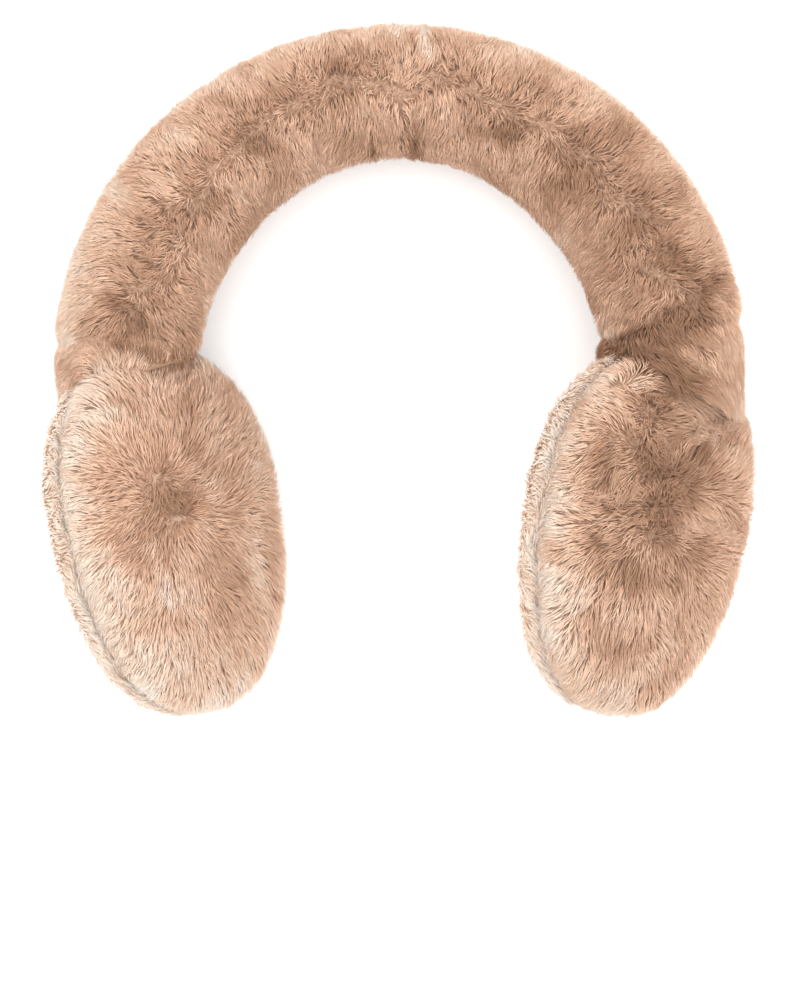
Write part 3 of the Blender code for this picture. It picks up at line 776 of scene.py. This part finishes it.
def bandGroom(angle, around, point, normal):
    # shorter and darker along the parting, lightest at the outer edge as painted rim light, longer over the
    # ends' outer side
    fromParting = wrapped(around - bandParting(angle)) - wander(point, headband["tintWander"])
    limits = headband["limits"]
    outer = smooth(*limits["outer"], fromParting)
    dark, part, _ = nearMarks(point, "band")
    weights = {
        "parting": 1 - smooth(*limits["parting"], np.abs(fromParting)),
        "outer": outer,
        "outerEnd": outer * (1 - smooth(0.0, headband["endReach"], endDistance(angle))),
        "inner": smooth(*limits["inner"], -fromParting),
        # painted shade: the band's front darker towards the right end, the side away from the light
        "right": smoothDegrees(*limits["right"], angle) * (1 - outer),
        "mark": part,
    }
    return groomed(headband, weights, dark)


def makeHeadband():
    shape = bandShape(pile["depth"])
    first, last = np.radians([arch["ends"]["left"], arch["ends"]["right"]])
    shares = np.linspace(0, 1, headband["rings"])
    angles = first + (last - first) * (shares + headband["endCrowding"] * np.sin(-2 * np.pi * shares))
    arounds = np.linspace(0, 2 * np.pi, headband["ringPoints"], endpoint=False)
    grid = shape(*np.meshgrid(angles, arounds, indexing="ij"))
    addSkin("headband", grid, skinMaterials["band_fur"], "headband")
    spans = {
        "FrontLeft": ((first, 0.0), (-np.pi / 2, np.pi / 2)),
        "FrontRight": ((0.0, last), (-np.pi / 2, np.pi / 2)),
        "Back": ((first, last), (np.pi / 2, 3 * np.pi / 2)),
    }
    middleRadius, skinRadius = headband["radii"]
    for index, (part, span) in enumerate(spans.items()):
        fur = {
            **headband["parts"][part], "shape": shape, "spans": span, "sign": 1, "gather": 1.0,
            "seed": headband["seed"],
            "area": (span[0][1] - span[0][0]) * middleRadius * np.pi * skinRadius,
            "density": lambda angle, point, normal: viewDensity(normal, headband["backDensity"]),
            "lay": bandLay, "groom": bandGroom,
        }
        mesh = growFur("headbandFur" + part, fur, np.random.default_rng(headband["seed"] + index))
        addPiece(mesh, strandMaterials["band_fur"], "headband")


# Pads

# The lines that the fur of the facing panels radiates from, in pixels of the picture
whorls = {
    "left": ((163, 486), (168, 500), (182, 513)),
    "right": ((652, 398), (646, 440), (650, 462), (674, 487), (656, 512), (657, 534)),
}

padSkin = {
    "rings": 26,
    "ringPoints": 56,
    "seatGap": 0.0012,  # how far the skin stays under the neck's seat
    "furGap": 0.0006,  # and how far the fur does
    "furPolars": (0.03, np.radians(103.5)),
    "area": 0.0100,  # of a panel, for the number of tufts
    "backDensity": 0.8,
    "whorlWander": (0.0022, 0.012),  # how far the whorl's line wanders, and over what length
    # short hair that crosses every way at the whorl: how far it reaches, how fast it turns, how strongly
    "tangle": (0.0034, 0.0020, 1.5),
    "whorlDensity": (1.4, (0.001, 0.005)),  # how much denser the fur is at the whorl, and how far
    "alongSeam": 0.45,  # how much of its way the fur that lies along the seam keeps going over the edge
    "seatLay": 0.35,  # how far the right pad's fur turns down at the neck's seat
    "twist": {"facing": 0.12, "behind": 0.15},  # round the pad
    # where each of these starts and is full: metres over the seat's plane, degrees from the dome's pole,
    # and metres from the whorl's line
    "limits": {
        "seat": (-0.012, -0.002), "seatLay": (-0.014, -0.004),
        "edge": (44, 78), "rimLay": (62, 86), "seam": (66, 86), "rim": (72, 92), "seamLay": (80, 94),
        "whorl": (0.0, 0.0060), "middle": (0.006, 0.026),
    },
}

# The panels that face the camera, and those behind
facingPanel = {"face": 1, "facing": True, "strands": 23200, "widthScale": 1.06, "seamDensity": 0.8}
# The panels behind have a paler base tint and skin than the facing ones: painted rim light, the pale glow of
# their fur along the outline.
behindPanel = {
    "face": -1, "facing": False, "strands": 12200, "widthScale": 1.15, "seamDensity": 2.0,
    "gather": 1.0, "skin": "pad_fur_behind",
}
# In each groom, the edge's lighter tint is painted rim light.
padLooks = {
    ("left", "inner"): {
        **facingPanel, "seed": 204, "gather": 0.55, "skin": "pad_fur_left", "base": (1.0, 0.0, 0.60),
        "groom": {
            "seat": (0.50, 6, 0), "rim": (-0.25, 8, 0), "edge": (0, 0, 0.24),
            "whorl": (-0.05, 14, -0.20), "middle": (0, 0, -0.18), "mark": (-0.12, 12, 0),
        },
    },
    ("left", "outer"): {
        # paler base tint than the facing panel: painted rim light
        **behindPanel, "seed": 201, "base": (1.0, -8.0, 0.72),
        "groom": {"seat": (-0.10, 0, 0), "rim": (-0.12, 0, 0), "edge": (0, 0, 0.24)},
    },
    ("right", "inner"): {
        # paler base tint than the facing panel: painted rim light
        **behindPanel, "seed": 214, "base": (1.0, -8.0, 0.61),
        "groom": {"seat": (-0.10, 0, 0), "rim": (-0.12, 0, 0), "edge": (0, 0, 0.29)},
    },
    ("right", "outer"): {
        **facingPanel, "seed": 211, "gather": 0.80, "skin": "pad_fur", "base": (1.0, 0.0, 0.49),
        "groom": {
            "seat": (0.10, 2, 0), "rim": (-0.25, 8, 0), "edge": (0, 0, 0.29),
            "whorl": (-0.05, 14, -0.20), "middle": (0, 0, -0.17), "mark": (-0.12, 12, 0),
        },
    },
}


def makePanel(side, panel):
    look, limits = padLooks[side, panel], padSkin["limits"]
    face, facing = look["face"], look["facing"]
    shape = panelShape(side, face, pile["depth"])
    node = f"{side}_pad_{panel}"
    title = side + "Pad" + panel.capitalize()
    polars = np.radians(np.linspace(0, pads["seam"], padSkin["rings"] + 1))[1:]
    arounds = np.linspace(0, 2 * np.pi, padSkin["ringPoints"], endpoint=False)
    grid = shape(*np.meshgrid(polars, arounds, indexing="ij"))
    above, seatNormal = aboveSeat(side, grid)
    grid = grid - np.maximum(above + padSkin["seatGap"], 0.0)[..., None] * seatNormal
    addSkin(title, grid, skinMaterials[look["skin"]], node)

    def fromWhorl(point):
        # away from the whorl's line, which wanders, as the camera sees it
        distance, length = padSkin["whorlWander"]
        shift = np.stack([waves(point, length, seed) for seed in (71, 72)], axis=-1)
        return awayFromLine(point, whorls[side]) + distance * shift

    def lay(polar, around, point, normal, alongPolar, alongAround):
        # a facing panel's fur radiates from the whorl's line as the camera sees it and follows the dome
        # down over the rim, a panel's behind runs from the middle to the rim, and both lie along the seam
        alongSeam = alongPolar * padSkin["alongSeam"] - archUp
        overSeam = smoothDegrees(*limits["seamLay"], polar)[:, None]
        if not facing:
            outwardLay = alongPolar + padSkin["twist"]["behind"] * alongAround
            return outwardLay * (1 - overSeam) + alongSeam * overSeam
        away = fromWhorl(point)
        seen = inWorld(unit(away))
        if side == "right":
            nearSeat = smooth(*limits["seatLay"], aboveSeat(side, point)[0])[:, None]
            seen = seen * (1 - nearSeat) + (archRight - padSkin["seatLay"] * archUp) * nearSeat
        seen = unit(seen - normal * (seen * normal).sum(axis=1, keepdims=True))
        rim = smoothDegrees(*limits["rimLay"], polar)[:, None]
        combed = unit(seen * (1 - rim) + alongPolar * rim + padSkin["twist"]["facing"] * alongAround)
        combed = combed * (1 - overSeam) + alongSeam * overSeam
        reach, turning, strength = padSkin["tangle"]
        tangle = np.stack([waves(point, turning, seed) for seed in (73, 74, 75)], axis=-1)
        tangled = strength * (1 - smooth(reach / 3, reach, np.linalg.norm(away, axis=1)))[:, None]
        return combed + tangled * tangle + markScale["push"] * nearMarks(point, side)[2]

    def groom(polar, around, point, normal):
        # shorter over the seam, lighter towards the edge as painted rim light; on a facing panel, darker and
        # steeper at the whorl
        weights = {
            "seat": smooth(*limits["seat"], aboveSeat(side, point)[0]),
            "rim": smoothDegrees(*limits["rim"], polar),
            "edge": smoothDegrees(*limits["edge"], polar),
        }
        if not facing:
            return groomed(look, weights, 0.0)
        distance = np.linalg.norm(fromWhorl(point), axis=1)
        dark, part, _ = nearMarks(point, side)
        weights["whorl"] = 1 - smooth(*limits["whorl"], distance)
        weights["middle"] = 1 - smooth(*limits["middle"], distance)
        weights["mark"] = part
        return groomed(look, weights, dark)

    def density(polar, point, normal):
        # denser at the whorl and towards the seam, none at the neck's seat
        more, reach = padSkin["whorlDensity"]
        atWhorl = 1 - smooth(*reach, np.linalg.norm(fromWhorl(point), axis=1))
        return (
            viewDensity(normal * face, padSkin["backDensity"])
            * (1 + look["seamDensity"] * smoothDegrees(*limits["seam"], polar))
            * (1 + more * facing * atWhorl)
            * (aboveSeat(side, point)[0] < -padSkin["furGap"])
        )

    fur = {
        **look, "shape": shape, "spans": (padSkin["furPolars"], (0.0, 2 * np.pi)), "sign": face,
        "area": padSkin["area"], "density": density, "lay": lay, "groom": groom,
    }
    mesh = growFur(title + "Fur", fur, np.random.default_rng(look["seed"]))
    addPiece(mesh, strandMaterials["pad_fur"], node)


# Necks between the band and the pads

neck = {
    "rings": 7,
    "ringPoints": 40,
    "gap": 0.0004,  # between the neck's flat ends and what they meet
    "girth": 0.145,  # for the number of tufts
    "backDensity": 0.6,
    # where each of these starts and is full: how far the skin faces outwards, or shares of the neck's way
    "limits": {"outerLay": (0.1, 0.8), "outer": (0.1, 0.9), "atPad": (0.25, 0.75), "paintedCreaseShade": (0.0, 0.30)},
}
# In each groom, the outer side's lighter tint is painted rim light, and the crease's darker tint painted
# shade where the band's end meets the neck.
neckLooks = {
    "left": {
        "seed": 301, "strands": 5200, "base": (0.95, 4.0, 0.51),
        "padFur": 1.0,  # how much of the pad's fur runs up over the front
        "groom": {
            "outer": (0.15, 4, 0.08), "atPad": (0.0, -18, 0), "padFront": (0, 0, 0.16),
            "paintedCreaseShade": (0, 0, -0.24), "mark": (-0.30, 10, 0),
        },
    },
    "right": {
        "seed": 302, "strands": 7200, "base": (0.95, 4.0, 0.28),
        "padFur": 0.35,
        "groom": {
            "outer": (0.15, 4, 0.22), "atPad": (0.35, -2, 0), "padFront": (0, 0, 0.10),
            "paintedCreaseShade": (0, 0, -0.24), "mark": (-0.30, 10, 0),
        },
    },
}


def makeCollar(side):
    look, limits = neckLooks[side], neck["limits"]
    node = side + "_collar"
    title = side + "Collar"
    shape = collarShape(side, pile["depth"])
    shares = np.linspace(0.0, 1.0, neck["rings"])
    arounds = np.linspace(0, 2 * np.pi, neck["ringPoints"], endpoint=False)
    grid = shape(*np.meshgrid(shares, arounds, indexing="ij"))
    _, leaving, _, arriving = (archTurn @ end for end in collarEnds(side))
    inwards = leaving * (1 - shares)[:, None] - arriving * shares[:, None]
    grid = grid + neck["gap"] * inwards[:, None]
    addSkin(title, grid, skinMaterials["collar_fur"], node)
    archOut = archRight * outwards[side]

    def lay(share, around, point, normal, alongShare, alongAround):
        # upwards where the pad's fur runs on over the neck's front, else down from the band and outwards
        front = (1 - smooth(*limits["outerLay"], normal @ archOut))[:, None] * look["padFur"]
        upwards = inWorld(awayFromLine(point, whorls[side]))
        down = alongShare + 0.25 * alongAround * waves(point, 0.01, 5)[:, None] + 0.5 * archOut
        return unit(unit(upwards) * front + unit(down) * (1 - front)) + nearMarks(point, side)[2]

    def groom(share, around, point, normal):
        # fullest and lightest on the outer side, where the outline runs on from the band to the pad, the
        # lighter tint there being painted rim light; darker at the band's end as painted shade in the crease
        outer = smooth(*limits["outer"], normal @ archOut)
        atPad = smooth(*limits["atPad"], share)
        dark, part, _ = nearMarks(point, side)
        weights = {
            "outer": outer,
            "atPad": atPad,
            "padFront": atPad * (1 - 0.5 * outer),
            "paintedCreaseShade": (1 - smooth(*limits["paintedCreaseShade"], share)) * (1 - outer),
            "mark": part,
        }
        return groomed(look, weights, dark * (1 - outer))

    fur = {
        **look, "shape": shape, "spans": ((0.0, 1.0), (0.0, 2 * np.pi)), "sign": -1,
        "area": neck["girth"] * collar["lengths"][side], "widthScale": 1.0, "gather": 1.0,
        "density": lambda share, point, normal: viewDensity(-normal, neck["backDensity"]),
        "lay": lay, "groom": groom,
    }
    mesh = growFur(title + "Fur", fur, np.random.default_rng(look["seed"]))
    addPiece(mesh, strandMaterials["collar_fur"], node)


makeHeadband()
print("headband done")
for padSide in ("left", "right"):
    makeCollar(padSide)
    for panelName in ("inner", "outer"):
        makePanel(padSide, panelName)
    print(padSide, "pad and collar done")


# Floor, light and camera

studio = {
    "floorReach": 4.0,
    "floorColour": (0.97, 0.97, 0.97),
    "floorRoughness": 0.9,
    "floorSpecular": 0.1,
    "worldStrength": 1.50,
    "key": {"place": (-0.45, 0.60, 1.40), "power": 11.0, "size": 1.6},
    "fill": {"place": (0.90, -0.20, 1.00), "power": 4.0, "size": 1.4},
    "cameraDistance": 3.0,
    "cameraSensor": 36.0,
    "cameraClip": 20.0,
}


def makeFloor():
    reach = studio["floorReach"]
    corners = [(-reach, -reach, 0), (reach, -reach, 0), (reach, reach, 0), (-reach, reach, 0)]
    mesh = meshFrom("floor", np.array(corners, dtype=float), np.array([(0, 1, 2), (0, 2, 3)]))
    floor = bpy.data.objects.new("floor", mesh)
    bpy.context.scene.collection.objects.link(floor)
    look = {"roughness": studio["floorRoughness"], "specular": studio["floorSpecular"]}
    material, _, _, shader = newMaterial("floor", look)
    shader.inputs["Base Color"].default_value = (*studio["floorColour"], 1.0)
    floor.data.materials.append(material)


def makeLights():
    world = bpy.data.worlds.new("studio")
    world.use_nodes = True
    background = world.node_tree.nodes["Background"]
    background.inputs["Color"].default_value = (1.0, 1.0, 1.0, 1.0)
    background.inputs["Strength"].default_value = studio["worldStrength"]
    bpy.context.scene.world = world
    for name in ("key", "fill"):
        light = bpy.data.lights.new(name, "AREA")
        light.energy = studio[name]["power"]
        light.size = studio[name]["size"]
        lamp = bpy.data.objects.new(name, light)
        lamp.location = studio[name]["place"]
        lamp.rotation_euler = (-Vector(studio[name]["place"])).to_track_quat("-Z", "Y").to_euler()
        bpy.context.scene.collection.objects.link(lamp)


def makeCamera():
    # it looks straight down the arch's Z, over the middle of the picture
    width, height = picture["size"]
    middle = seenAt(width / 2, height / 2)
    distance = studio["cameraDistance"]
    camera = bpy.data.cameras.new("camera")
    camera.sensor_width = studio["cameraSensor"]
    camera.lens = camera.sensor_width * distance / (height * picture["metresPerPixel"])
    camera.clip_end = studio["cameraClip"]
    holder = bpy.data.objects.new("camera", camera)
    holder.matrix_world = archFrame @ Matrix.Translation((middle[0], middle[1], distance))
    bpy.context.scene.collection.objects.link(holder)
    bpy.context.scene.camera = holder


makeFloor()
makeLights()
makeCamera()
bpy.context.scene.view_settings.view_transform = "Standard"
print("studio done")
